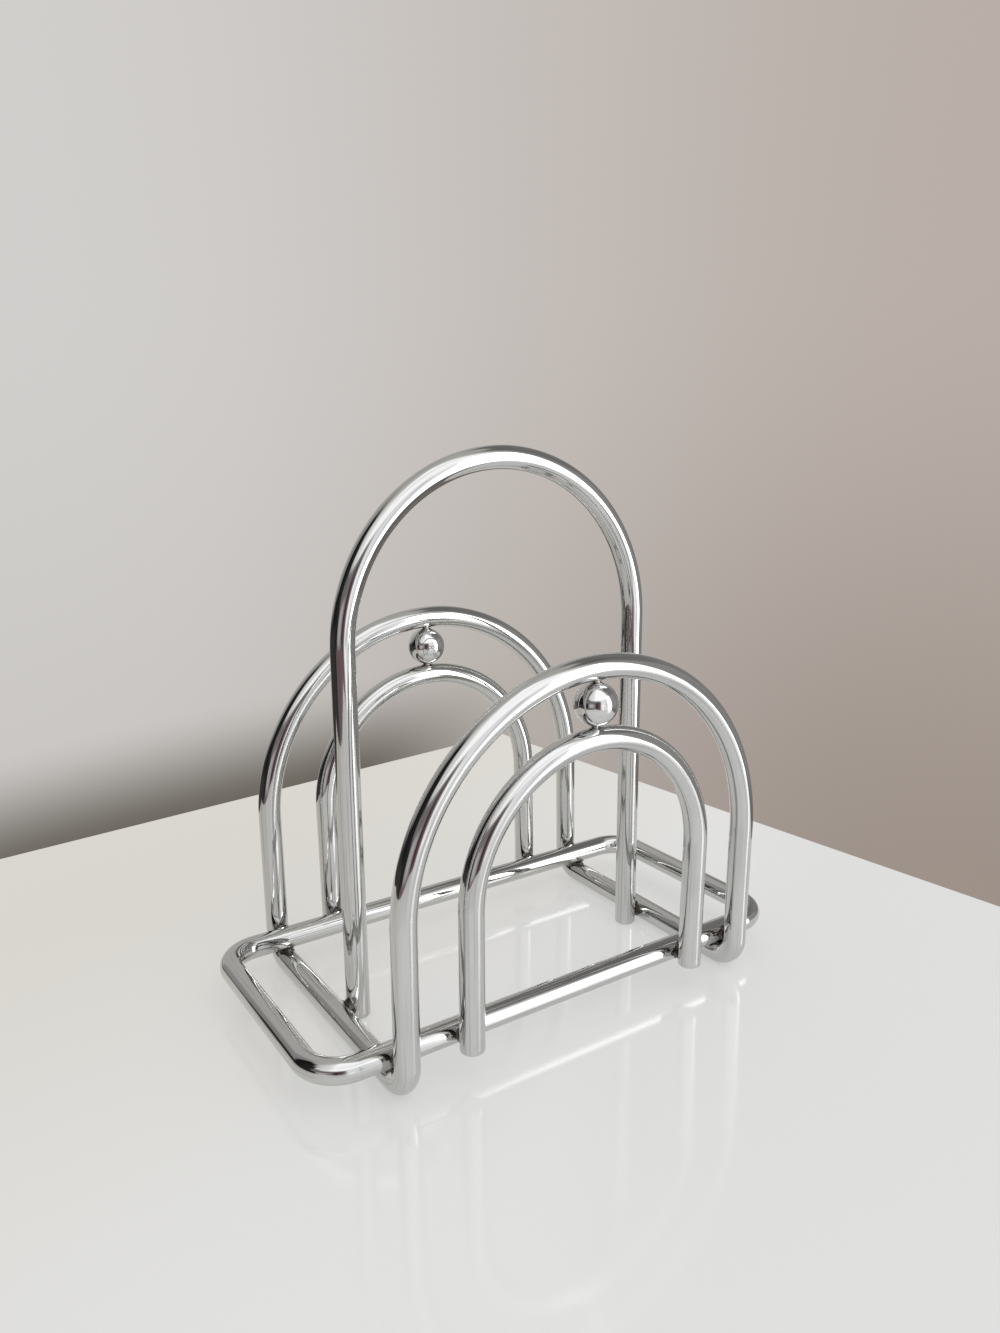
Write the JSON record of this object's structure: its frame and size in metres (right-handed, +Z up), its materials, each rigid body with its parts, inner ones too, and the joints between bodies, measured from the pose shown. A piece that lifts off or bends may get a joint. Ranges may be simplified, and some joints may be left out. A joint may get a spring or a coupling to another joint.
{
  "type": "letter holder",
  "caption": "Upright holder for letters, bent from round plated wire: arched faces with a ball at each crown, a level base ring and a tall carrying hoop between two slots.",
  "frame": {"origin": "on the table, under the middle of the base ring", "axes": "+X along the arches and the long side of the ring, +Y from the front arches to the rear ones, +Z up"},
  "size_m": [0.1518, 0.094, 0.1499],
  "materials": {
    "chrome_wire": "bright chrome plate over drawn steel wire, with faint polishing marks",
    "chrome_ball": "bright chrome plate over a polished steel ball",
    "chrome_weld": "plated weld metal, duller and slightly rippled"
  },
  "bodies": {
    "root": {"base_ring": "chrome_wire", "outer_frame": "chrome_wire", "inner_arch_front": "chrome_wire", "inner_arch_rear": "chrome_wire", "handle": "chrome_wire", "ball_front": "chrome_ball", "ball_rear": "chrome_ball", "weld_ball_front_top": "chrome_weld", "weld_ball_front_bottom": "chrome_weld", "weld_ball_rear_top": "chrome_weld", "weld_ball_rear_bottom": "chrome_weld", "weld_rail_outer_leg_front_left": "chrome_weld", "weld_rail_outer_leg_front_right": "chrome_weld", "weld_rail_outer_leg_rear_left": "chrome_weld", "weld_rail_outer_leg_rear_right": "chrome_weld", "weld_rail_inner_leg_front_left": "chrome_weld", "weld_rail_inner_leg_front_right": "chrome_weld", "weld_rail_inner_leg_rear_left": "chrome_weld", "weld_rail_inner_leg_rear_right": "chrome_weld", "weld_rail_runner_front_left": "chrome_weld", "weld_rail_runner_front_right": "chrome_weld", "weld_rail_runner_rear_left": "chrome_weld", "weld_rail_runner_rear_right": "chrome_weld", "weld_handle_runner_left": "chrome_weld", "weld_handle_runner_right": "chrome_weld"}
  },
  "joints": []
}
